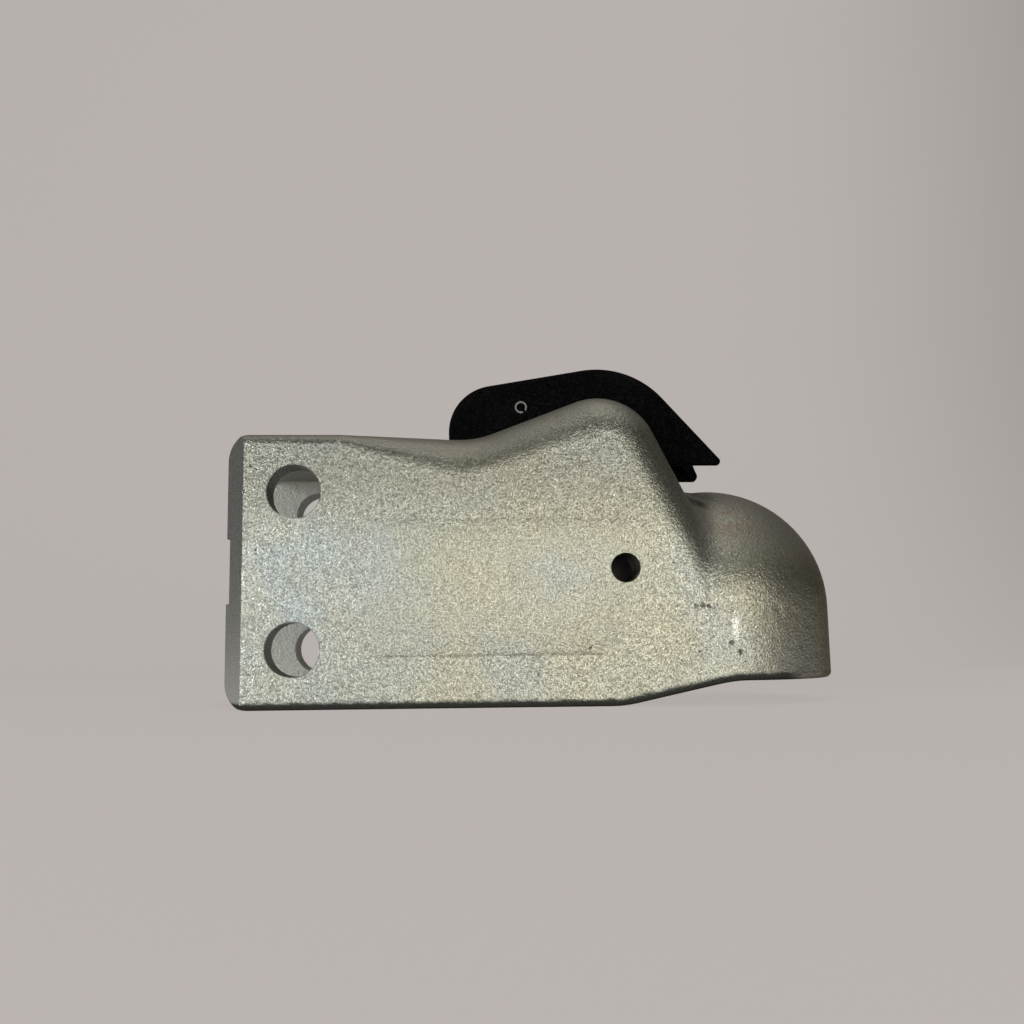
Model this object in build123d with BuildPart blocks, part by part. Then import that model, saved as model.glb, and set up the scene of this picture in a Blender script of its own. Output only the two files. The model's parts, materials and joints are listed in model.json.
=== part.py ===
from build123d import *
from math import cos, hypot, radians, sin, sqrt, tan
import os

# Cast trailer coupling head. The origin is the centre of the towing ball, +X points
# forward to the towing vehicle and +Z up. All sizes are millimetres and degrees.

os.makedirs("parts", exist_ok=True)

# Ball, socket and dome
BALL_DIAMETER = 58.74
BALL_CLEARANCE = 0.8
DOME_WALL = 12.1
SKIRT_DRAFT = 0.8
RIM_DROP = 24.3
MOUTH_FLARE = 4.0

# Mounting body
BODY_WIDTH = 83.8
BODY_HEIGHT = 88.9
BASE_DROP = 32.0
REAR_REACH = 164.5
SIDE_WALL = 14.3
TOP_WALL = 5.7
BULKHEAD = 12.0
CHANNEL_ROUND = 2.0
REAR_CHAMFER = 6.0
REAR_CORNER = 8.5
REAR_EDGE_ROUND = 3.2
SWELL_SETBACK = 128.0
SWELL_EDGE_ROUND = 3.6
BASE_EDGE_ROUND = 2.0
BASE_BEND_SETBACK = 36.0
BASE_BEND_ROUND = 40.0
PAD_RELIEF_HEIGHT = 21.2
PAD_RELIEF_DEPTH = 1.2

# Bolt holes and lock pin hole, all centred on half the height of the body
BOLT_HOLE = 17.46
BOLT_SPACING = 50.8
BOLT_SETBACK = 142.4
LOCK_HOLE = 9.7
LOCK_SETBACK = 35.1

# Hump over the latch. Its rear slope is square to the latch slide.
SLIDE_TILT = 21.0
HUMP_FRONT_SLOPE = 63.4
HUMP_FOOT_SETBACK = 83.0
HUMP_NOSE_SETBACK = 22.0
HUMP_LEAD = 3.0
HUMP_FOOT_ROUND = 30.0
HUMP_CREST_ROUND = 21.0
HUMP_EDGE_ROUND = 14.0
ROOF_WALL = 8.0
CREASE_ROUND = 14.0

# Latch and its slide
LATCH_BACK = 50.0
LATCH_WIDTH = 44.0
LATCH_FOOT_WIDTH = 35.0
LATCH_SHOULDER = 1.0
LATCH_FLOOR_GAP = 2.25
LATCH_GAP = 0.3
LATCH_EDGE_ROUND = 2.0
LIP_ANGLE = 34.0
LEAD_IN_ANGLE = 42.5
LOCK_PIN_GAP = 0.6

# Pull rod, spring and washer
ROD_DIAMETER = 9.0
ROD_SOCKET_DEPTH = 19.0
ROD_FIT = 0.05
ROD_GUIDE_CLEARANCE = 0.4
ROD_EYE_WIDTH = 7.0
COLLAR_DIAMETER = 15.0
COLLAR_HEIGHT = 3.0
SPRING_WIRE = 1.8
SPRING_MEAN = 12.6
SPRING_TURNS = 7.5
WASHER_DIAMETER = 17.0
WASHER_THICKNESS = 1.5

# Slotted roll pins. The handle's pin lies above the flat top of the body.
PIN_SETBACK = 67.5
PIN_RISE = 12.9
ROLL_PIN_DIAMETER = 4.2
ROLL_PIN_BORE = 3.0
ROLL_PIN_SLOT = 1.0
ROLL_PIN_SLOT_TURN = -52.0
ROLL_PIN_FIT = 0.02
EYE_CLEARANCE = 0.08
ROD_PIN_LENGTH = 38.0

# Handle. Its beak stands above the top of the dome.
HANDLE_WIDTH = 43.0
HANDLE_WALL = 3.0
HANDLE_GAP = 0.7
TAIL_SETBACK = 92.5
TAIL_ROUND = 16.5
TAIL_FOOT_ROUND = 2.5
HANDLE_BACK_SLOPE = 9.67
HANDLE_BACK_RISE = 9.6
HANDLE_FRONT_SLOPE = 47.8
HANDLE_CREST_ROUND = 31.0
BEAK_REACH = 3.9
BEAK_RISE = 7.0
BEAK_TIP_ROUND = 1.5
HANDLE_EDGE_ROUND = 1.3
BOSS_DIAMETER = 10.0
BOSS_SIDE_GAP = 0.3
SCOOP_WIDTH = 40.0
SCOOP_RISE = 7.5

# How near an edge lies to the surface it is picked by
PICK_GAP = 0.05

# Worked out heights and radii
body_half = BODY_WIDTH / 2
base_z = -BASE_DROP
top_z = base_z + BODY_HEIGHT
middle_z = base_z + BODY_HEIGHT / 2
socket_radius = BALL_DIAMETER / 2 + BALL_CLEARANCE
dome_radius = socket_radius + DOME_WALL
skirt_radius = dome_radius + BASE_DROP * tan(radians(SKIRT_DRAFT))
pin_z = top_z + PIN_RISE
beak_z = dome_radius + BEAK_RISE

# The latch slides up and back along a tilted line. In the side view, depth runs forward
# square to that line and rise runs along it, both from the ball centre.
slide_sin = sin(radians(SLIDE_TILT))
slide_cos = cos(radians(SLIDE_TILT))


def slide_depth(x, z):
    """Depth of a point of the side view."""
    return x * slide_cos + z * slide_sin


def slide_rise(x, z):
    """Rise of a point of the side view."""
    return z * slide_cos - x * slide_sin


def slide_point(depth, rise):
    """Side view point (x, z) at a depth and a rise."""
    return depth * slide_cos - rise * slide_sin, depth * slide_sin + rise * slide_cos


def slide_plane(depth, rise):
    """Plane square to the slide, with its origin at a depth and a rise."""
    x, z = slide_point(depth, rise)
    return Plane((x, 0, z), x_dir=(slide_cos, 0, slide_sin), z_dir=(-slide_sin, 0, slide_cos))


pin_depth = slide_depth(-PIN_SETBACK, pin_z)
pin_rise = slide_rise(-PIN_SETBACK, pin_z)
lock_rise = slide_rise(-LOCK_SETBACK, middle_z)
roof_rise = slide_rise(-HUMP_FOOT_SETBACK, top_z) - ROOF_WALL
latch_top = lock_rise - LOCK_HOLE / 2 - LOCK_PIN_GAP
latch_front = -sqrt(socket_radius**2 - latch_top**2)
ledge_rise = -LATCH_SHOULDER - LATCH_GAP
chamber_back = -LATCH_BACK - LATCH_GAP
chamber_length = latch_front + LATCH_GAP - chamber_back
chamber_middle = chamber_back + chamber_length / 2
collar_rise = lock_rise + LOCK_HOLE / 2 + LOCK_PIN_GAP
spring_foot = collar_rise + COLLAR_HEIGHT
washer_rise = roof_rise - WASHER_THICKNESS
rod_pin_rise = latch_top - ROD_SOCKET_DEPTH / 2

# Side outline of the hump, from the flat top over the crest and down inside the dome.
nose_run = 1 / tan(radians(HUMP_FRONT_SLOPE))
hump_span = HUMP_FOOT_SETBACK - HUMP_NOSE_SETBACK
hump_rise = hump_span / (1 / tan(radians(SLIDE_TILT)) + nose_run)
hump_peak = (-HUMP_NOSE_SETBACK - hump_rise * nose_run, top_z + hump_rise)
hump_foot_run = HUMP_FOOT_ROUND * tan(radians(SLIDE_TILT / 2))
hump_start = -HUMP_FOOT_SETBACK - hump_foot_run - HUMP_LEAD
hump_toe = -HUMP_NOSE_SETBACK + top_z * nose_run

with BuildSketch(Plane.XZ) as hump_side:
    with BuildLine():
        FilletPolyline(
            (hump_start, base_z),
            (hump_start, top_z),
            (-HUMP_FOOT_SETBACK, top_z),
            hump_peak,
            (hump_toe, 0),
            (0, 0),
            (0, base_z),
            radius=(0, 0, HUMP_FOOT_ROUND, HUMP_CREST_ROUND, 0, 0, 0),
            close=True,
        )
    make_face()

# Mounting body: its upper edges round off more and more towards the hump.
with BuildPart() as mounting_body:
    for section_x, edge_round in (
        (-REAR_REACH, REAR_EDGE_ROUND),
        (-SWELL_SETBACK, SWELL_EDGE_ROUND),
        (hump_start, HUMP_EDGE_ROUND),
    ):
        with BuildSketch(Plane.YZ.offset(section_x)) as section:
            with Locations((0, middle_z)):
                Rectangle(BODY_WIDTH, BODY_HEIGHT)
            fillet(section.vertices().group_by(Axis.Y)[-1], edge_round)
    loft(ruled=True)

# Hump block, as wide as the body, with soft upper edges on both sides.
with BuildPart() as hump:
    extrude(hump_side.sketch, amount=body_half, both=True)
    side_edges = hump.edges().filter_by(lambda edge: abs(edge.center().Y) > body_half - PICK_GAP)
    upper_edges = side_edges.filter_by(
        lambda edge: edge.center().Z > 0 and edge.center().X > hump_start
    )
    fillet(upper_edges, HUMP_EDGE_ROUND)

# Dome: a ball-shaped cap on a slightly flared skirt.
with BuildPart() as dome:
    with BuildSketch(Plane.XZ):
        with BuildLine():
            RadiusArc((0, dome_radius), (dome_radius, 0), dome_radius)
            Polyline((dome_radius, 0), (skirt_radius, base_z), (0, base_z), (0, dome_radius))
        make_face()
    revolve(axis=Axis.Z)

# Core that leaves the mounting body hollow, open below and behind, up to the bulkhead.
channel_top = top_z - TOP_WALL
channel_end = chamber_back - BULKHEAD
with BuildPart() as channel_core:
    with BuildSketch(Plane.XZ):
        with BuildLine():
            Polyline(
                (-2 * REAR_REACH, base_z - BODY_HEIGHT),
                (-2 * REAR_REACH, channel_top),
                ((channel_end - channel_top * slide_sin) / slide_cos, channel_top),
                slide_point(channel_end, -BODY_HEIGHT),
                close=True,
            )
        make_face()
    extrude(amount=body_half - SIDE_WALL, both=True)
    fillet(channel_core.edges().filter_by(Axis.X).group_by(Axis.Z)[-1], CHANNEL_ROUND)

# Core of the latch chamber: wide above the ledges that stop the latch, narrow below.
with BuildPart() as chamber_core:
    with BuildSketch(slide_plane(chamber_middle, ledge_rise)):
        Rectangle(chamber_length, LATCH_WIDTH + 2 * LATCH_GAP)
    extrude(amount=roof_rise - ledge_rise)
    with BuildSketch(slide_plane(chamber_middle, ledge_rise)):
        Rectangle(chamber_length, LATCH_FOOT_WIDTH + 2 * LATCH_GAP)
    extrude(amount=-BODY_HEIGHT)

# Core of the ball socket: a half ball, a straight throat and a flared mouth.
mouth_radius = socket_radius + MOUTH_FLARE
with BuildPart() as socket_core:
    with BuildSketch(Plane.XZ):
        with BuildLine():
            RadiusArc((0, socket_radius), (socket_radius, 0), socket_radius)
            Polyline(
                (socket_radius, 0),
                (socket_radius, MOUTH_FLARE - RIM_DROP),
                (mouth_radius, -RIM_DROP),
                (mouth_radius, base_z - MOUTH_FLARE),
                (0, base_z - MOUTH_FLARE),
                (0, socket_radius),
            )
        make_face()
    revolve(axis=Axis.Z)


def on_dome(point):
    """Whether a point lies on the dome or its skirt."""
    skirt = dome_radius - point.Z * tan(radians(SKIRT_DRAFT))
    reach = point.length if point.Z > 0 else hypot(point.X, point.Y) + dome_radius - skirt
    return abs(reach - dome_radius) < PICK_GAP


# Housing: one casting, with a soft crease where the hump and the sides run into the dome.
with BuildPart() as housing:
    add(mounting_body.part)
    add(hump.part)
    add(dome.part)
    crease = housing.edges().filter_by(lambda edge: on_dome(edge @ 0.5) and (edge @ 0.5).X < 0)
    crease = crease.filter_by(lambda edge: (edge @ 0.5).Z > base_z + PICK_GAP)
    crease = crease.filter_by(lambda edge: abs((edge @ 0.5).Z) > PICK_GAP)
    fillet(crease, CREASE_ROUND)

    # The base rises in a soft bend to the rim of the dome.
    with BuildSketch(Plane.XZ):
        with BuildLine():
            FilletPolyline(
                (-REAR_REACH / 2, base_z),
                (-BASE_BEND_SETBACK, base_z),
                (0, -RIM_DROP),
                (2 * skirt_radius, -RIM_DROP),
                (2 * skirt_radius, base_z - RIM_DROP),
                (-REAR_REACH / 2, base_z - RIM_DROP),
                radius=(0, BASE_BEND_ROUND, BASE_BEND_ROUND, 0, 0, 0),
                close=True,
            )
        make_face()
    extrude(amount=BODY_WIDTH, both=True, mode=Mode.SUBTRACT)
    base_faces = housing.faces().filter_by(lambda face: face.normal_at().Z < -slide_cos)
    base_edges = base_faces.edges().filter_by(
        lambda edge: abs((edge @ 0.5).Y) > SIDE_WALL or (edge @ 0.5).X > socket_radius
    )
    fillet(base_edges, BASE_EDGE_ROUND)

    # The rear end has rounded corners, bevelled sides and two bearing pads.
    with BuildSketch(Plane.XZ):
        with Locations((-REAR_REACH, top_z), (-REAR_REACH, base_z)):
            Rectangle(2 * REAR_CORNER, 2 * REAR_CORNER)
        with Locations(
            (REAR_CORNER - REAR_REACH, top_z - REAR_CORNER),
            (REAR_CORNER - REAR_REACH, base_z + REAR_CORNER),
        ):
            Circle(REAR_CORNER, mode=Mode.SUBTRACT)
        with Locations((-REAR_REACH, middle_z)):
            Rectangle(2 * PAD_RELIEF_DEPTH, PAD_RELIEF_HEIGHT)
    extrude(amount=BODY_WIDTH, both=True, mode=Mode.SUBTRACT)
    with BuildSketch():
        with Locations((-REAR_REACH, body_half), (-REAR_REACH, -body_half)):
            Rectangle(sqrt(2) * REAR_CHAMFER, sqrt(2) * REAR_CHAMFER, rotation=45)
    extrude(amount=BODY_HEIGHT, both=True, mode=Mode.SUBTRACT)

    add(channel_core.part, mode=Mode.SUBTRACT)
    add(chamber_core.part, mode=Mode.SUBTRACT)
    add(socket_core.part, mode=Mode.SUBTRACT)

    # Bolt holes and lock pin hole cross both side walls.
    with BuildSketch(Plane.XZ):
        with Locations((-BOLT_SETBACK, middle_z)):
            with GridLocations(1, BOLT_SPACING, 1, 2):
                Circle(BOLT_HOLE / 2)
        with Locations((-LOCK_SETBACK, middle_z)):
            Circle(LOCK_HOLE / 2)
    extrude(amount=BODY_WIDTH, both=True, mode=Mode.SUBTRACT)

    # Guide hole for the pull rod, square through the roof.
    with BuildSketch(slide_plane(pin_depth, roof_rise)):
        Circle(ROD_DIAMETER / 2 + ROD_GUIDE_CLEARANCE)
    extrude(amount=2 * ROOF_WALL, both=True, mode=Mode.SUBTRACT)

housing.part.label = "housing"
export_step(housing.part, "parts/housing.step")

# Latch block: shoulders above, a narrower foot with the lip and lead-in below, and a
# hollow for the ball.
lip = (-socket_radius * cos(radians(LIP_ANGLE)), -socket_radius * sin(radians(LIP_ANGLE)))
foot_z = base_z + LATCH_FLOOR_GAP
toe_x = lip[0] - (lip[1] - foot_z) / tan(radians(LEAD_IN_ANGLE))
heel_x = (-LATCH_BACK - foot_z * slide_sin) / slide_cos
nose_reach = latch_front - slide_depth(*lip)
nose_rise = slide_rise(*lip) + nose_reach * tan(radians(LEAD_IN_ANGLE - SLIDE_TILT))

with BuildPart() as latch_block:
    with BuildSketch(Plane.XZ):
        with BuildLine():
            Polyline(
                slide_point(-LATCH_BACK, latch_top),
                slide_point(-LATCH_BACK, -LATCH_SHOULDER),
                slide_point(latch_front, -LATCH_SHOULDER),
                slide_point(latch_front, latch_top),
                close=True,
            )
        make_face()
    extrude(amount=LATCH_WIDTH / 2, both=True)
    with BuildSketch(Plane.XZ):
        with BuildLine():
            Polyline(
                slide_point(-LATCH_BACK, -LATCH_SHOULDER),
                (heel_x, foot_z),
                (toe_x, foot_z),
                slide_point(latch_front, nose_rise),
                slide_point(latch_front, -LATCH_SHOULDER),
                close=True,
            )
        make_face()
    extrude(amount=LATCH_FOOT_WIDTH / 2, both=True)
    slide_line = Axis((0, 0, 0), (-slide_sin, 0, slide_cos))
    back_edges = latch_block.edges().filter_by(slide_line)
    fillet(back_edges.filter_by(lambda edge: edge.center().X < heel_x), LATCH_EDGE_ROUND)
    Sphere(socket_radius, mode=Mode.SUBTRACT)
    with BuildSketch(slide_plane(pin_depth, latch_top)):
        Circle(ROD_DIAMETER / 2 + ROD_FIT)
    extrude(amount=-ROD_SOCKET_DEPTH, mode=Mode.SUBTRACT)
    with BuildSketch(Plane.XZ):
        with Locations(slide_point(pin_depth, rod_pin_rise)):
            Circle(ROLL_PIN_DIAMETER / 2 + ROLL_PIN_FIT)
    extrude(amount=LATCH_WIDTH, both=True, mode=Mode.SUBTRACT)

latch_block.part.label = "latch_block"
export_step(latch_block.part, "parts/latch_block.step")

# Pull rod: turned, with a collar under the spring, an eye above and a pin hole below.
rod_foot = latch_top - ROD_SOCKET_DEPTH + ROD_FIT
with BuildPart() as pull_rod:
    with BuildSketch(slide_plane(pin_depth, rod_foot)):
        Circle(ROD_DIAMETER / 2)
    extrude(amount=pin_rise - rod_foot)
    with BuildSketch(slide_plane(pin_depth, pin_rise)):
        with Locations((0, ROD_DIAMETER), (0, -ROD_DIAMETER)):
            Rectangle(2 * ROD_DIAMETER, 2 * ROD_DIAMETER - ROD_EYE_WIDTH)
    extrude(amount=-ROD_DIAMETER, mode=Mode.SUBTRACT)
    with BuildSketch(Plane.XZ):
        with Locations((-PIN_SETBACK, pin_z)):
            Circle(ROD_DIAMETER / 2)
    extrude(amount=ROD_EYE_WIDTH / 2, both=True)
    with BuildSketch(slide_plane(pin_depth, collar_rise)):
        Circle(COLLAR_DIAMETER / 2)
    extrude(amount=COLLAR_HEIGHT)
    with BuildSketch(Plane.XZ):
        with Locations((-PIN_SETBACK, pin_z)):
            Circle(ROLL_PIN_DIAMETER / 2 + EYE_CLEARANCE)
        with Locations(slide_point(pin_depth, rod_pin_rise)):
            Circle(ROLL_PIN_DIAMETER / 2 + ROLL_PIN_FIT)
    extrude(amount=COLLAR_DIAMETER, both=True, mode=Mode.SUBTRACT)

pull_rod.part.label = "pull_rod"
export_step(pull_rod.part, "parts/pull_rod.step")

# Latch spring: open coils between the collar and the washer.
spring_height = washer_rise - spring_foot - SPRING_WIRE
with BuildPart() as latch_spring:
    with BuildLine() as coil:
        Helix(
            pitch=spring_height / SPRING_TURNS,
            height=spring_height,
            radius=SPRING_MEAN / 2,
            center=slide_plane(pin_depth, spring_foot + SPRING_WIRE / 2).origin,
            direction=(-slide_sin, 0, slide_cos),
        )
    with BuildSketch(Plane(coil.line @ 0, z_dir=coil.line % 0)):
        Circle(SPRING_WIRE / 2)
    sweep(path=coil.line, is_frenet=True)

latch_spring.part.label = "latch_spring"
export_step(latch_spring.part, "parts/latch_spring.step")

# Spring washer: flat against the roof of the chamber.
with BuildPart() as spring_washer:
    with BuildSketch(slide_plane(pin_depth, washer_rise)):
        Circle(WASHER_DIAMETER / 2)
        Circle(ROD_DIAMETER / 2 + ROD_GUIDE_CLEARANCE, mode=Mode.SUBTRACT)
    extrude(amount=WASHER_THICKNESS)

spring_washer.part.label = "spring_washer"
export_step(spring_washer.part, "parts/spring_washer.step")


def roll_pin(x, z, length):
    """Slotted spring pin across the coupling, with its centre at a point of the side view."""
    with BuildPart() as pin:
        with BuildSketch(Plane.XZ):
            with Locations((x, z)):
                Circle(ROLL_PIN_DIAMETER / 2)
                Circle(ROLL_PIN_BORE / 2, mode=Mode.SUBTRACT)
            with Locations(Location((x, z), ROLL_PIN_SLOT_TURN)):
                Rectangle(
                    ROLL_PIN_DIAMETER,
                    ROLL_PIN_SLOT,
                    align=(Align.MIN, Align.CENTER),
                    mode=Mode.SUBTRACT,
                )
        extrude(amount=length / 2, both=True)
    return pin.part


rod_roll_pin = roll_pin(*slide_point(pin_depth, rod_pin_rise), ROD_PIN_LENGTH)
rod_roll_pin.label = "rod_roll_pin"
export_step(rod_roll_pin, "parts/rod_roll_pin.step")

handle_roll_pin = roll_pin(-PIN_SETBACK, pin_z, HANDLE_WIDTH)
handle_roll_pin.label = "handle_roll_pin"
export_step(handle_roll_pin, "parts/handle_roll_pin.step")

# Handle outline in the side view: tail, straight back, crest, front slope and beak.
back_slope = tan(radians(HANDLE_BACK_SLOPE))
front_slope = tan(radians(HANDLE_FRONT_SLOPE))


def handle_face(inset, drop, tip_round, tail_foot_round):
    """Side view of the handle down into the hump, drawn in by a wall and let down below."""
    back_at_pin = pin_z + HANDLE_BACK_RISE - inset / cos(radians(HANDLE_BACK_SLOPE))
    front_at_beak = beak_z - inset / cos(radians(HANDLE_FRONT_SLOPE))
    tail_x = inset - TAIL_SETBACK
    tip_x = BEAK_REACH + (front_at_beak - beak_z + drop) / front_slope
    crest_climb = front_at_beak - back_at_pin + front_slope * BEAK_REACH
    crest_x = (crest_climb - back_slope * PIN_SETBACK) / (back_slope + front_slope)
    with BuildSketch(Plane.XZ) as outline:
        with BuildLine():
            FilletPolyline(
                (tail_x, top_z + HANDLE_GAP - drop),
                (tail_x, back_at_pin + back_slope * (tail_x + PIN_SETBACK)),
                (crest_x, back_at_pin + back_slope * (crest_x + PIN_SETBACK)),
                (tip_x, beak_z - drop),
                (hump_peak[0], beak_z - drop),
                (hump_peak[0], 0),
                (-HUMP_FOOT_SETBACK, top_z + HANDLE_GAP - drop),
                radius=(
                    tail_foot_round,
                    TAIL_ROUND - inset,
                    HANDLE_CREST_ROUND - inset,
                    tip_round,
                    0,
                    0,
                    0,
                ),
                close=True,
            )
        make_face()
    return outline.sketch


def on_rim(point):
    """Whether a point lies on the beak or above the foot of the tail."""
    return point.X > hump_peak[0] + PICK_GAP or point.Z > top_z + HANDLE_GAP + PICK_GAP


# Handle: a moulded saddle that clears the hump, hollow below, with bosses for its pin and
# a finger scoop in the lower edge of its front.
boss_start = ROD_EYE_WIDTH / 2 + BOSS_SIDE_GAP
boss_end = HANDLE_WIDTH / 2 - HANDLE_WALL / 2
outer_face = handle_face(0, 0, BEAK_TIP_ROUND, TAIL_FOOT_ROUND)
inner_face = handle_face(HANDLE_WALL, 2 * HANDLE_WALL, 0, 0)
hump_clearance = offset(hump_side.sketch, amount=HANDLE_GAP)

with BuildPart() as handle:
    extrude(outer_face, amount=HANDLE_WIDTH / 2, both=True)
    side_edges = handle.edges().filter_by(
        lambda edge: abs(edge.center().Y) > HANDLE_WIDTH / 2 - PICK_GAP
    )
    rim_edges = side_edges.filter_by(lambda edge: on_rim(edge.center()))
    fillet(rim_edges, HANDLE_EDGE_ROUND)
    extrude(hump_clearance, amount=BODY_WIDTH, both=True, mode=Mode.SUBTRACT)
    extrude(inner_face, amount=HANDLE_WIDTH / 2 - HANDLE_WALL, both=True, mode=Mode.SUBTRACT)
    with BuildSketch(Plane.YZ.offset(BEAK_REACH)):
        with BuildLine():
            ThreePointArc(
                (-SCOOP_WIDTH / 2, beak_z),
                (0, beak_z + SCOOP_RISE),
                (SCOOP_WIDTH / 2, beak_z),
            )
            Polyline(
                (SCOOP_WIDTH / 2, beak_z),
                (SCOOP_WIDTH / 2, beak_z - SCOOP_RISE),
                (-SCOOP_WIDTH / 2, beak_z - SCOOP_RISE),
                (-SCOOP_WIDTH / 2, beak_z),
            )
        make_face()
    extrude(amount=hump_peak[0] - BEAK_REACH, mode=Mode.SUBTRACT)
    for side in (1, -1):
        with BuildSketch(Plane.XZ.offset(side * boss_start)):
            with Locations((-PIN_SETBACK, pin_z)):
                Circle(BOSS_DIAMETER / 2)
        extrude(amount=side * (boss_end - boss_start))
    with BuildSketch(Plane.XZ):
        with Locations((-PIN_SETBACK, pin_z)):
            Circle(ROLL_PIN_DIAMETER / 2 + ROLL_PIN_FIT)
    extrude(amount=HANDLE_WIDTH, both=True, mode=Mode.SUBTRACT)

handle.part.label = "handle"
export_step(handle.part, "parts/handle.step")
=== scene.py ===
import bpy
import json
from math import cos, radians, sin
from mathutils import Matrix, Vector


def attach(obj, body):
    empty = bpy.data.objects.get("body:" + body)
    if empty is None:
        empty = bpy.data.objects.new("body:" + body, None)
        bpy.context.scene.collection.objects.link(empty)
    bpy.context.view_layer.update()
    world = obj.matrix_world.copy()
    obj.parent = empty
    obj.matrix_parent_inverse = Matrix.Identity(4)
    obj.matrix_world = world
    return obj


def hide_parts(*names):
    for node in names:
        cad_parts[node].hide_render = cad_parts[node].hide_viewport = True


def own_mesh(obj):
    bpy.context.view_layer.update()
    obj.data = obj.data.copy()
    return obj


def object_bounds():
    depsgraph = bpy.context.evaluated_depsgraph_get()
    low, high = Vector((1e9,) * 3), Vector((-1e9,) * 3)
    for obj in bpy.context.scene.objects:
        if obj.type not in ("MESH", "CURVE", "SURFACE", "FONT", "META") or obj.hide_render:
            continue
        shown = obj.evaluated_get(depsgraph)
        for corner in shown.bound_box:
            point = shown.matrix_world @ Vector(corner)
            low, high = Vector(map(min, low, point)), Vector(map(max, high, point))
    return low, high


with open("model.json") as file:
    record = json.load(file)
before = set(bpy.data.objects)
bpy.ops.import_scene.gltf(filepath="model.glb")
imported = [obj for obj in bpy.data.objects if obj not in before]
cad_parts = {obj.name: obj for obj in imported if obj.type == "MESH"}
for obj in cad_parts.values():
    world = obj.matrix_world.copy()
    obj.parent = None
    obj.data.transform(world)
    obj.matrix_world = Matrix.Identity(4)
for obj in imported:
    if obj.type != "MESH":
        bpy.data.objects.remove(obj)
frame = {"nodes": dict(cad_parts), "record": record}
cad_low, cad_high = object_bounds()
nodes = frame["nodes"]
mounts = {mount["name"]: mount for mount in frame["record"]["mounts"]}


# Housing: one sand casting of ductile iron with a thin coat of bright zinc. The cast skin is
# grainy and glints, the zinc has faint blue, straw and pink tints, and the rear end and the
# bolt holes are cut smooth. Upward faces are dull, with dust and painted shade in their colour;
# the upper part is painted darker as shade, and the lowest edges are painted black as shade.
class Shade:
    """One shader value, so that the masks and mixes of a finish read as plain sums."""

    def __init__(self, tree, socket):
        self.tree = tree
        self.socket = socket

    def node(self, kind, settings=None, inputs=None, output=0):
        made = self.tree.nodes.new(kind)
        for name, value in (settings or {}).items():
            if name == "stops":
                for stop in range(len(made.color_ramp.elements), len(value)):
                    made.color_ramp.elements.new(1.0)
                for element, (position, colour) in zip(made.color_ramp.elements, value):
                    element.position = position
                    element.color = (*colour, 1.0)
            else:
                setattr(made, name, value)
        for name, value in (inputs or {}).items():
            if isinstance(value, Shade):
                self.tree.links.new(value.socket, made.inputs[name])
            else:
                made.inputs[name].default_value = value
        return Shade(self.tree, made.outputs[output])

    def math(self, operation, *values):
        return self.node("ShaderNodeMath", {"operation": operation}, dict(enumerate(values)))

    def __add__(self, other):
        return self.math("ADD", self, other)

    def __sub__(self, other):
        return self.math("SUBTRACT", self, other)

    def __rsub__(self, other):
        return self.math("SUBTRACT", other, self)

    def __mul__(self, other):
        return self.math("MULTIPLY", self, other)

    def __abs__(self):
        return self.math("ABSOLUTE", self)

    __radd__ = __add__

    def either(self, other):
        """The greater of this value and another."""
        return self.math("MAXIMUM", self, other)

    def rise(self, low, high, way="SMOOTHSTEP"):
        """0 below low and 1 above high, with a soft step between them."""
        step = {"Value": self, "From Min": low, "From Max": high}
        return self.node("ShaderNodeMapRange", {"interpolation_type": way}, step)

    def blend(self, first, second):
        """Colour that goes from first to second as this value goes from 0 to 1."""
        colours = [c if isinstance(c, Shade) else (*c, 1.0) for c in (first, second)]
        inputs = {0: self, 6: colours[0], 7: colours[1]}
        return self.node("ShaderNodeMix", {"data_type": "RGBA"}, inputs, 2)

    def noise(self, scale, detail=2.0, rough=0.5):
        """Cloudy pattern on this place, with so many clouds to the metre."""
        inputs = {"Vector": self, "Scale": scale, "Detail": detail, "Roughness": rough}
        return self.node("ShaderNodeTexNoise", None, inputs)

    def stretched(self, x, y, z):
        return self.node("ShaderNodeMapping", None, {"Vector": self, "Scale": (x, y, z)})

    def wandering(self, scale, sway):
        """This place, pushed about by up to half a sway, for ragged outlines."""
        push = self.node("ShaderNodeTexNoise", None, {"Vector": self, "Scale": scale}, "Color")
        centred = push.node(
            "ShaderNodeVectorMath", {"operation": "SUBTRACT"}, {0: push, 1: (0.5, 0.5, 0.5)}
        )
        inputs = {0: centred, 1: (sway, sway, sway), 2: self}
        return self.node("ShaderNodeVectorMath", {"operation": "MULTIPLY_ADD"}, inputs)

    def split(self):
        return [self.node("ShaderNodeSeparateXYZ", None, {0: self}, axis) for axis in range(3)]

    def near(self, spot, reach, soft):
        """1 within reach of a spot and 0 past reach plus soft, in metres."""
        settings = {"operation": "DISTANCE"}
        apart = self.node("ShaderNodeVectorMath", settings, {0: self, 1: spot}, "Value")
        return 1 - apart.rise(reach, reach + soft)


def new_finish(name):
    """A material, its place in the row frame, and its shader."""
    finish = bpy.data.materials.new(name)
    finish.use_nodes = True
    tree = finish.node_tree
    shader = tree.nodes["Principled BSDF"]
    coordinates = tree.nodes.new("ShaderNodeTexCoord")
    return finish, Shade(tree, coordinates.outputs["Object"]), shader


def feed(shader, **values):
    """Sets or links the shader's sockets, named with underscores for spaces."""
    for name, value in values.items():
        socket = shader.inputs[name.replace("_", " ").title().replace("Ior", "IOR")]
        if isinstance(value, Shade):
            value.tree.links.new(value.socket, socket)
        else:
            socket.default_value = value


def bumped(height, depth):
    """Surface normal of a height from 0 to 1 that stands for so many metres."""
    return height.node("ShaderNodeBump", None, {"Height": height, "Distance": depth})


def dress(finish, *names):
    """Gives CAD nodes their finish."""
    for name in names:
        nodes[name].data.materials.clear()
        nodes[name].data.materials.append(finish)


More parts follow.
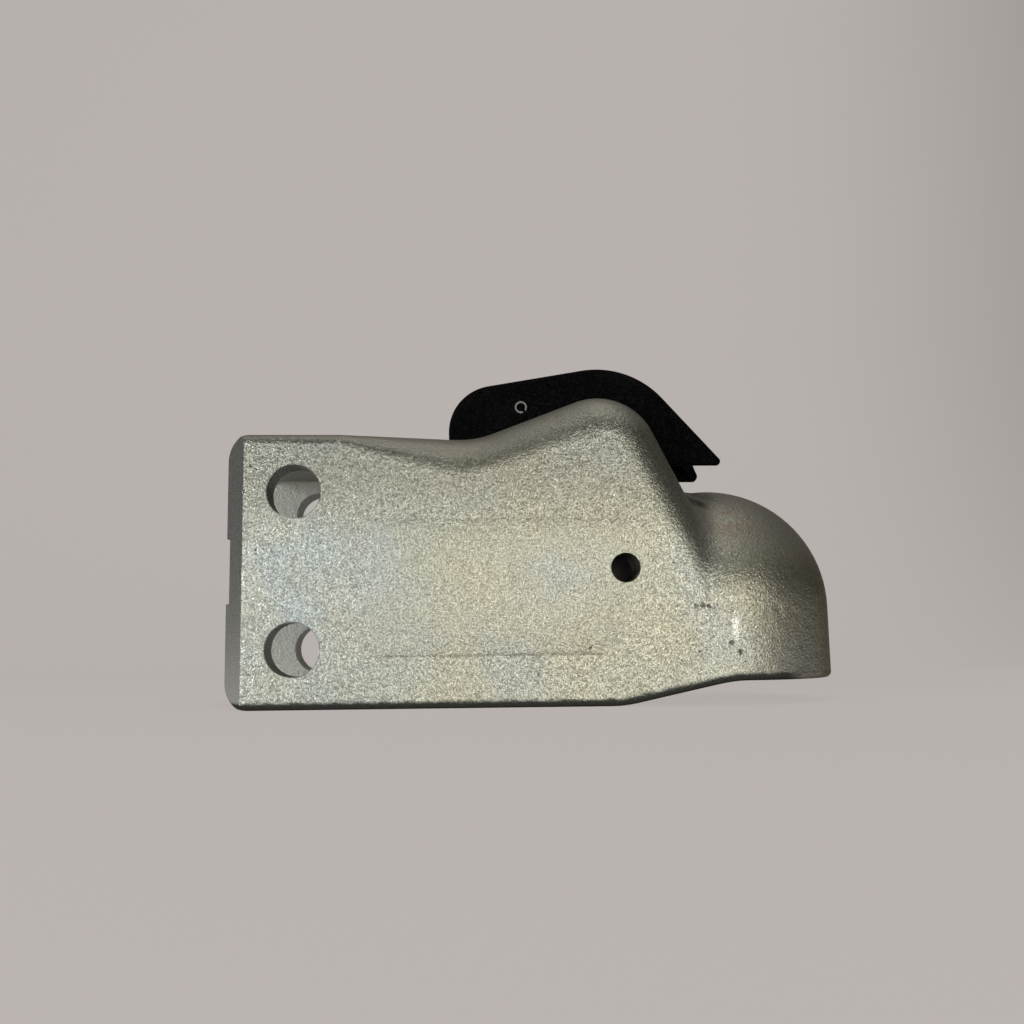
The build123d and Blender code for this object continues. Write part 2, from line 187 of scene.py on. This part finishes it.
zinc, place, shader = new_finish("zinc_casting")
across, through, up = place.split()
facing = place.node("ShaderNodeTexCoord", None, None, "Normal")
face_across, face_up = facing.split()[::2]

# Where the casting is cut smooth: the rear end and the bolt holes
bolts = mounts["bolt_holes_right"]
bolt_x, near_side, bolt_z = bolts["pos_m"]
bolt_step = bolts["dims"]["spacing_y_mm"] / 2000
bolt_radius = bolts["dims"]["hole_r_mm"] / 1000
END_ZONE = 0.150, 0.152
cut = (0 - face_across).rise(0.4, 0.6) * (0 - across).rise(*END_ZONE)
flat_place = place.stretched(1, 0, 1)
for hole_z in (bolt_z + bolt_step, bolt_z - bolt_step):
    cut = cut.either(flat_place.near((bolt_x, 0, hole_z), bolt_radius, 0.0002))
cast = 1 - cut

# Where it is dusty with painted shade, painted black as shade along the base, or greased inside
BASE_Z, RIM_Z = cad_low.z, -0.0243
BEND_START = -0.037
SLIDE_TILT = radians(21)
CHAMBER_FRONT, CHAMBER_HALF = -0.0231, 0.0226
CHAMBER_BACK, CHAMBER_ROOF = -0.0506, 0.0751
CHANNEL_FRONT, CHANNEL_HALF, CHANNEL_ROOF = 0.0612, 0.0279, 0.0538
BAND_EDGE, NOSE_ZONE, REAR_ZONE = (0.0026, 0.0040), (0.0170, 0.0270), (0.075, 0.150)
EDGE = 0.0004
dust_and_shade = face_up.rise(0.18, 0.62)
ragged_up = up + place.noise(260, 3.0, 0.6) * 0.0018
base_line = across.rise(BEND_START, 0, "LINEAR") * (RIM_Z - BASE_Z) + BASE_Z
at_nose = across.rise(*NOSE_ZONE)
# painted shade: a band along the lowest edges, weaker at the nose
painted_base_shade = (1 - (ragged_up - base_line).rise(*BAND_EDGE)) * (1 - at_nose * 0.7)
slide_depth = across * cos(SLIDE_TILT) + up * sin(SLIDE_TILT)
slide_rise = up * cos(SLIDE_TILT) - across * sin(SLIDE_TILT)
chamber = slide_depth.rise(CHAMBER_BACK - EDGE, CHAMBER_BACK)
chamber = chamber * (1 - slide_depth.rise(CHAMBER_FRONT, CHAMBER_FRONT + EDGE))
chamber = chamber * (1 - abs(through).rise(CHAMBER_HALF, CHAMBER_HALF + EDGE))
chamber = chamber * (1 - slide_rise.rise(CHAMBER_ROOF, CHAMBER_ROOF + EDGE))
hollow = (0 - slide_depth).rise(CHANNEL_FRONT, CHANNEL_FRONT + EDGE)
hollow = hollow * (1 - abs(through).rise(CHANNEL_HALF, CHANNEL_HALF + EDGE))
hollow = hollow * (1 - up.rise(CHANNEL_ROOF, CHANNEL_ROOF + EDGE))
rear = (0 - across).rise(*REAR_ZONE)

# Grain of the sand mould, with faint streaks down the rear of the sides
fine = place.noise(2900, 1.5, 0.6)
grain = place.noise(1300, 2.0, 0.6)
peel = place.noise(430, 2.0, 0.5)
lumps = place.noise(75, 2.0, 0.5)
streaks = place.stretched(1, 1, 0.06).noise(1100, 2.0, 0.6)

# Pits, dark and deep, and shallow dents of the casting
PITS = (
    ((-0.1561, -0.0419, 0.0461), 0.0008),
    ((-0.1582, -0.0419, 0.0377), 0.0006),
    ((-0.1541, -0.0419, 0.0189), 0.0005),
    ((-0.1243, -0.0419, 0.0460), 0.0006),
    ((-0.0122, -0.0419, -0.0002), 0.0009),
    ((-0.0102, -0.0419, 0.0001), 0.0011),
    ((-0.0083, -0.0419, -0.0002), 0.0009),
    ((-0.0013, -0.0424, -0.0119), 0.0010),
    ((0.0015, -0.0424, -0.0151), 0.0011),
    ((0.0031, -0.0424, -0.0183), 0.0005),
    ((-0.0120, -0.0419, -0.0150), 0.0006),
    ((0.0008, -0.0390, 0.0162), 0.0008),
    ((-0.0193, -0.0419, 0.0138), 0.0006),
    ((-0.0640, -0.0419, -0.0215), 0.0006),
    ((-0.0470, -0.0419, -0.0133), 0.0008),
)
DENTS = (
    ((-0.0058, -0.0419, -0.0009), 0.0016),
    ((-0.0025, -0.0422, -0.0006), 0.0019),
    ((0.0001, -0.0423, -0.0003), 0.0017),
    ((0.0150, -0.0395, -0.0010), 0.0021),
    ((0.0162, -0.0390, -0.0034), 0.0013),
)
SCUFF_SPOT = (0.0001, -0.0423, -0.0018)
ragged = place.wandering(1100, 0.0020)
wavy = place.wandering(600, 0.0012)


def spotted(spots, core, soft):
    """1 at each spot and 0 away from them; core and soft are shares of a spot's reach."""
    marks = 0
    for spot, reach in spots:
        marks = ragged.near(spot, reach * core, reach * soft).either(marks)
    return marks


pits = spotted(PITS, 0.1, 0.9)
dents = spotted(DENTS, 0, 1.2)
scuff = wavy.stretched(1, 1, 0.28).near(SCUFF_SPOT, 0.0004, 0.0016)

# Zinc tints, dust, stains, painted shade on the upper part, in the crease and on the black
# lowest edges, and painted light in the channel
TINTS = (
    (0.32, (0.61, 0.62, 0.54)),
    (0.46, (0.64, 0.635, 0.50)),
    (0.58, (0.66, 0.64, 0.48)),
    (0.70, (0.67, 0.61, 0.49)),
)
BLUE_ZINC, UPPER_SHADE_ZINC = (0.55, 0.62, 0.61), (0.37, 0.365, 0.30)
CUT_ZINC, RUBBED_ZINC, INNER_PAINTED_LIGHT = (0.62, 0.64, 0.61), (0.84, 0.84, 0.82), (0.78, 0.80, 0.76)
GRAIN_SHADOW, PIT_SHADOW = (0.40, 0.39, 0.37, 1), (0.07, 0.065, 0.055)
DUST_AND_SHADE, BROWN_STAIN, CREASE_SHADE = (0.25, 0.235, 0.195), (0.24, 0.17, 0.12), (0.035, 0.033, 0.03)
BASE_SHADE_BLACK, GREASE = (0.035, 0.038, 0.036), (0.012, 0.011, 0.010)
UPPER_SHADE_ZONE = 0.018, 0.044
STAIN_SPOT = (0.0040, -0.0300, 0.0290)
CREASE_SPOTS = (-0.0110, -0.0275, 0.0372), (-0.0072, -0.0250, 0.0357)
tint = place.node("ShaderNodeValToRGB", {"stops": TINTS}, {0: place.noise(24, 2.0, 0.55)})
blue = place.noise(34, 2.0, 0.5).rise(0.48, 0.68) * rear
colour = (rear * 0.5 + blue * 0.4).blend(tint, BLUE_ZINC)
# painted shade: the upper part of the casting is painted darker
painted_upper_shade = up.rise(*UPPER_SHADE_ZONE)
colour = (painted_upper_shade * 0.6).blend(colour, UPPER_SHADE_ZINC)
speckle = (fine * 0.65 + grain * 0.35 + (streaks - 0.5) * rear * 0.14).rise(0.38, 0.62)
shadowed = place.node(
    "ShaderNodeMix",
    {"data_type": "RGBA", "blend_type": "MULTIPLY"},
    {0: 1.0, 6: colour, 7: GRAIN_SHADOW},
    2,
)
colour = speckle.either(cut).blend(shadowed, colour)
colour = (cut * 0.85).blend(colour, CUT_ZINC)
# dust on upward faces, mixed with painted shade that darkens them
colour = (dust_and_shade * 0.75).blend(colour, DUST_AND_SHADE)
patch = place.noise(190, 3.0, 0.6).rise(0.38, 0.66)
stain = place.near(STAIN_SPOT, 0.003, 0.011) * patch
colour = (stain * 0.55).blend(colour, BROWN_STAIN)
# painted shade: a dark smudge in the crease between the hump and the dome
painted_crease_shade = wavy.near(CREASE_SPOTS[0], 0.0012, 0.0050).either(
    wavy.near(CREASE_SPOTS[1], 0.0008, 0.0048)
)
colour = (painted_crease_shade * 0.85).blend(colour, CREASE_SHADE)
colour = (scuff * speckle * 0.6).blend(colour, RUBBED_ZINC)
colour = (pits * 0.75).blend(colour, PIT_SHADOW)
# painted light: the inside of the channel is painted lighter
colour = (hollow * 0.35).blend(colour, INNER_PAINTED_LIGHT)
# painted shade: the lowest edges are painted nearly black
colour = (painted_base_shade * 0.93).blend(colour, BASE_SHADE_BLACK)
colour = (chamber * 0.95).blend(colour, GREASE)

SKIN_DEPTH = 0.0006
skin = fine * 0.16 + grain * 0.36 + peel * 0.30 + lumps * 0.25 + streaks * rear * 0.08
skin = skin * cast * (1 - scuff * 0.7) - pits * 0.45 - dents * 0.30
feed(
    shader,
    base_color=colour,
    specular_tint=(0.15, 0.15, 0.15, 1),
    metallic=0.92 - dust_and_shade * 0.25 - chamber * 0.9 - hollow * 0.55,
    roughness=0.35 - speckle * 0.08 + dust_and_shade * 0.14 - cut * 0.04 + chamber * 0.3 + hollow * 0.1,
    normal=bumped(skin, SKIN_DEPTH),
)
dress(zinc, "housing")


# Side panel: the near side of the casting carries a low bare panel, a fifth of a millimetre
# proud and cast in one with it. Its lower edge is crisp, and the lock pin hole goes through it.
PANEL_LOW, PANEL_HIGH = (-0.1265, -0.0160), (-0.0230, 0.0302)
PANEL_PROUD = 0.0002
LOWER_SLOPE, UPPER_SLOPE, END_SLOPE = 0.0004, 0.0013, 0.0050
CORNER_ROUND, TOE_ROUND, ROUND_STEPS = 0.006, 0.020, 10
SMOOTH_BELOW = radians(35)
lock = mounts["lock_pin_hole"]
panel_width = PANEL_HIGH[0] - PANEL_LOW[0]
panel_height = PANEL_HIGH[1] - PANEL_LOW[1]
bpy.ops.object.select_all(action="DESELECT")
bpy.ops.mesh.primitive_cube_add(
    size=1,
    location=(PANEL_LOW[0] + panel_width / 2, near_side, PANEL_LOW[1] + panel_height / 2),
    scale=(panel_width, 2 * PANEL_PROUD, panel_height),
)
panel = bpy.context.object
panel.name = "side_panel"
bpy.ops.object.transform_apply(location=True, rotation=True, scale=True)


def pick(piece, kind, wanted):
    """Selects, in edit mode, the faces or edges whose middle is wanted."""
    bpy.ops.object.mode_set(mode="EDIT")
    bpy.ops.mesh.select_mode(type=kind)
    bpy.ops.mesh.select_all(action="DESELECT")
    bpy.ops.object.mode_set(mode="OBJECT")
    corners = piece.data.vertices
    for item in piece.data.polygons if kind == "FACE" else piece.data.edges:
        ends = [corners[v].co for v in item.vertices]
        item.select = wanted(sum(ends, Vector()) / len(ends), ends)
    bpy.ops.object.mode_set(mode="EDIT")


for corner_round, toe in ((TOE_ROUND, True), (CORNER_ROUND, False)):
    pick(
        panel,
        "EDGE",
        lambda middle, ends: abs(ends[0].y - ends[1].y) > PANEL_PROUD
        and toe == (middle.x > PANEL_HIGH[0] - TOE_ROUND * 1.01 and middle.z < bolt_z),
    )
    bpy.ops.mesh.bevel(offset=corner_round, segments=ROUND_STEPS, affect="EDGES")
pick(panel, "FACE", lambda middle, ends: middle.y < near_side - PANEL_PROUD / 2)
front_width = panel_width - 4 * END_SLOPE
front_height = panel_height - 2 * LOWER_SLOPE - 2 * UPPER_SLOPE
bpy.ops.transform.resize(value=(front_width / panel_width, 1, front_height / panel_height))
bpy.ops.transform.translate(value=(0, 0, LOWER_SLOPE - UPPER_SLOPE))
bpy.ops.object.mode_set(mode="OBJECT")
bpy.ops.mesh.primitive_cylinder_add(
    vertices=72,
    radius=lock["dims"]["r_mm"] / 1000,
    depth=0.01,
    location=lock["pos_m"],
    rotation=(radians(90), 0, 0),
)
lock_drill = bpy.context.object
bpy.ops.object.select_all(action="DESELECT")
panel.select_set(True)
bpy.context.view_layer.objects.active = panel
drilling = panel.modifiers.new("drilling", "BOOLEAN")
drilling.object = lock_drill
bpy.ops.object.modifier_apply(modifier="drilling")
bpy.data.objects.remove(lock_drill)
bpy.ops.object.shade_smooth_by_angle(angle=SMOOTH_BELOW)
panel.data.materials.append(zinc)
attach(panel, "housing")


# Spring washer and pull rod: turned steel with a thin zinc coat, inside the hump. The rod
# slides in the roof and carries the latch below and the handle's pin above.
turned, place, shader = new_finish("turned_steel")
rings = place.stretched(0.15, 1, 1).noise(2200, 2.0, 0.6)
feed(
    shader,
    base_color=rings.blend((0.40, 0.40, 0.39), (0.58, 0.58, 0.56)),
    metallic=1.0,
    roughness=0.34 + rings * 0.14,
    normal=bumped(rings, 0.00003),
)
dress(turned, "spring_washer", "pull_rod")


# Latch block: a small iron casting behind the ball, oiled, with the hollow and the lip that
# hold the ball. It slides in the chamber and hangs on the rod by a roll pin.
oiled, place, shader = new_finish("oiled_casting")
grain = place.noise(800, 2.0, 0.55)
rubbed = place.noise(60, 3.0, 0.6).rise(0.42, 0.62)
feed(
    shader,
    base_color=rubbed.blend((0.16, 0.155, 0.15), (0.34, 0.335, 0.32)),
    metallic=0.9,
    roughness=0.40 + grain * 0.2,
    normal=bumped(grain, 0.0001),
)
dress(oiled, "latch_block")


# Spring and roll pins: hard spring steel, wound or rolled up with a slot. One pin joins the
# rod and the latch; the other goes through the handle, and only its ring-shaped end shows.
sprung, place, shader = new_finish("spring_steel")
drawn = place.stretched(1, 0.1, 1).noise(2500, 2.0, 0.6)
feed(
    shader,
    base_color=drawn.blend((0.12, 0.12, 0.115), (0.24, 0.235, 0.225)),
    metallic=1.0,
    roughness=0.36 + drawn * 0.15,
    normal=bumped(drawn, 0.00003),
)
dress(sprung, "latch_spring", "rod_roll_pin", "handle_roll_pin")


# Latch spring: round wire wound between the rod's collar and the washer under the roof. It is
# wound here again in place of the model's spring; the real spring shortens towards the washer
# as the latch rises, and this coil keeps its length.
WIRE, COIL_MEAN, COIL_TURNS = 0.0018, 0.0126, 7.5
COIL_FOOT, COIL_HEAD = 0.03266, 0.07336
COIL_DEPTH = -0.038
WIRE_FACETS, COIL_STEPS = 14, 256
joints = {joint["name"]: joint for joint in frame["record"]["behaviour"]["joints"]}
slide = joints["latch_slide"]
rise = Vector(slide["axis"])
ahead = Vector((rise.z, 0, -rise.x))
coil_length = COIL_HEAD - COIL_FOOT
bpy.ops.object.select_all(action="DESELECT")
bpy.ops.mesh.primitive_circle_add(
    vertices=WIRE_FACETS,
    radius=WIRE / 2,
    location=(COIL_MEAN / 2, 0, 0),
    rotation=(radians(90), 0, 0),
)
coil = bpy.context.object
coil.name = "wound_spring"
bpy.ops.object.transform_apply(location=True, rotation=True, scale=True)
winding = coil.modifiers.new("winding", "SCREW")
winding.angle = radians(360) * COIL_TURNS
winding.screw_offset = coil_length - WIRE
winding.steps = winding.render_steps = COIL_STEPS
bpy.ops.object.modifier_apply(modifier="winding")
bpy.ops.object.mode_set(mode="EDIT")
bpy.ops.mesh.select_all(action="SELECT")
bpy.ops.mesh.fill_holes(sides=WIRE_FACETS)
bpy.ops.mesh.select_all(action="SELECT")
bpy.ops.mesh.normals_make_consistent(inside=False)
bpy.ops.object.mode_set(mode="OBJECT")
coil.rotation_euler = (0, -SLIDE_TILT, 0)
coil.location = rise * (COIL_FOOT + WIRE / 2) + ahead * COIL_DEPTH
bpy.ops.object.transform_apply(location=True, rotation=True, scale=True)
bpy.ops.object.shade_smooth_by_angle(angle=SMOOTH_BELOW)
coil.data.materials.append(sprung)
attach(coil, "housing")
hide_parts("latch_spring")
1 - slide["range_m"][1] / coil_length
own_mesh(coil)


# Handle: a saddle of black glass-filled nylon, moulded in one piece with a fine dull grain. It
# hinges on the roll pin and its tail bears on the flat top of the housing.
nylon, place, shader = new_finish("black_nylon")
grain = place.noise(2300, 2.0, 0.6)
bloom = place.noise(45, 3.0, 0.6).rise(0.4, 0.8)
specks = bloom * 0.2 + grain.rise(0.50, 0.66) * 0.8
feed(
    shader,
    base_color=specks.blend((0.0003, 0.0003, 0.0003), (0.0120, 0.0120, 0.0115)),
    specular_ior_level=0.03,
    roughness=0.44 + grain * 0.16,
    normal=bumped(grain, 0.0003),
)
dress(nylon, "handle")


# Floor: a pale matt sheet that the coupling stands on, swept up far behind it as a backdrop.
# It glows a little to keep its tone even; far to the right its glow is painted darker as shade,
# which the dome mirrors.
FLOOR_REACH = 1.6
SWEEP_BACK, SWEEP_ROUND, SWEEP_STEPS = 0.75, 0.35, 24
GLOW, FADE_FROM, FADE_TO = 0.78, 0.2, 1.2
bpy.ops.object.select_all(action="DESELECT")
bpy.ops.mesh.primitive_plane_add(size=2, location=(cad_low.x / 3, 0, cad_low.z))
floor = bpy.context.object
floor.name = "floor"
floor.scale = (FLOOR_REACH, SWEEP_BACK, 1)
bpy.ops.object.transform_apply(location=True, rotation=True, scale=True)
pick(floor, "EDGE", lambda middle, ends: min(end.y for end in ends) > SWEEP_BACK / 2)
bpy.ops.mesh.extrude_region_move(TRANSFORM_OT_translate={"value": (0, 0, FLOOR_REACH)})
bpy.ops.object.mode_set(mode="OBJECT")
sweep = floor.modifiers.new("sweep", "BEVEL")
sweep.width = SWEEP_ROUND
sweep.segments = SWEEP_STEPS
sweep.limit_method = "ANGLE"
bpy.ops.object.modifier_apply(modifier="sweep")
bpy.ops.object.shade_smooth()
paper, place, shader = new_finish("pale_paper")
across = place.split()[0]
cloud = place.noise(5, 2.0, 0.5)
feed(shader, base_color=cloud.blend((0.48, 0.44, 0.42), (0.52, 0.48, 0.46)), roughness=0.9)
seen = 0
for ray in ("Camera", "Glossy", "Transmission"):
    seen = place.node("ShaderNodeLightPath", None, None, f"Is {ray} Ray").either(seen)
# painted shade: the glow darkens far to the right
glow_with_painted_shade = (0 - across).rise(-FADE_TO, -FADE_FROM)
glow_with_painted_shade = glow_with_painted_shade.blend((0.10, 0.095, 0.09), (0.555, 0.513, 0.493))
pale = place.node("ShaderNodeEmission", None, {"Color": glow_with_painted_shade, "Strength": 1.0})
lit = Shade(paper.node_tree, shader.outputs[0])
mixed = place.node("ShaderNodeMixShader", None, {0: seen * GLOW, 1: lit, 2: pale})
paper.node_tree.links.new(mixed.socket, paper.node_tree.nodes["Material Output"].inputs[0])
floor.data.materials.append(paper)


# Light: one soft lamp behind the camera, a broad one above, one to the left, and a dim room.
def soft_lamp(name, spot, aim, width, height, power):
    """An oval lamp at a spot, aimed at another, with its size in metres and power in watts."""
    lamp = bpy.data.lights.new(name, "AREA")
    lamp.shape = "ELLIPSE"
    lamp.size = width
    lamp.size_y = height
    lamp.energy = power
    holder = bpy.data.objects.new(name, lamp)
    bpy.context.scene.collection.objects.link(holder)
    holder.location = spot
    holder.rotation_euler = (Vector(aim) - Vector(spot)).to_track_quat("-Z", "Y").to_euler()


soft_lamp(
    "front_lamp",
    spot=(0.09, -0.75, 0.05),
    aim=(-0.05, 0, 0.01),
    width=0.90,
    height=0.34,
    power=2.25,
)
soft_lamp(
    "top_lamp",
    spot=(0.1, -0.15, 1.2),
    aim=(-0.03, 0, 0),
    width=0.9,
    height=0.9,
    power=3.6,
)
soft_lamp(
    "left_lamp",
    spot=(-0.8, -0.65, 0.12),
    aim=(-0.1, 0, 0.01),
    width=0.4,
    height=0.4,
    power=4.5,
)
room = bpy.data.worlds.new("room")
room.use_nodes = True
sky = room.node_tree.nodes["Background"]
sky.inputs["Color"].default_value = (0.8, 0.78, 0.76, 1)
sky.inputs["Strength"].default_value = 0.07
bpy.context.scene.world = room
bpy.context.scene.view_settings.view_transform = "Standard"


# Camera: level with the lower half of the near side, a little behind the middle.
CAMERA_SPOT = Vector((-0.08879, -0.40081, -0.01147))
YAW = radians(2.693)
PITCH = radians(6.704)
ROLL = radians(-0.595)
SENSOR_MM, FOCAL_MM = 36, 39.164
sight = Vector((sin(YAW) * cos(PITCH), cos(YAW) * cos(PITCH), sin(PITCH)))
level = Vector((cos(YAW), -sin(YAW), 0))
upright = level.cross(sight)
right = cos(ROLL) * level + sin(ROLL) * upright
above = cos(ROLL) * upright - sin(ROLL) * level
lens = bpy.data.cameras.new("camera")
lens.sensor_width = SENSOR_MM
lens.lens = FOCAL_MM
lens.clip_start = 0.01
camera = bpy.data.objects.new("camera", lens)
bpy.context.scene.collection.objects.link(camera)
turn = Matrix((right, above, -sight)).transposed().to_4x4()
camera.matrix_world = Matrix.Translation(CAMERA_SPOT) @ turn
bpy.context.scene.camera = camera
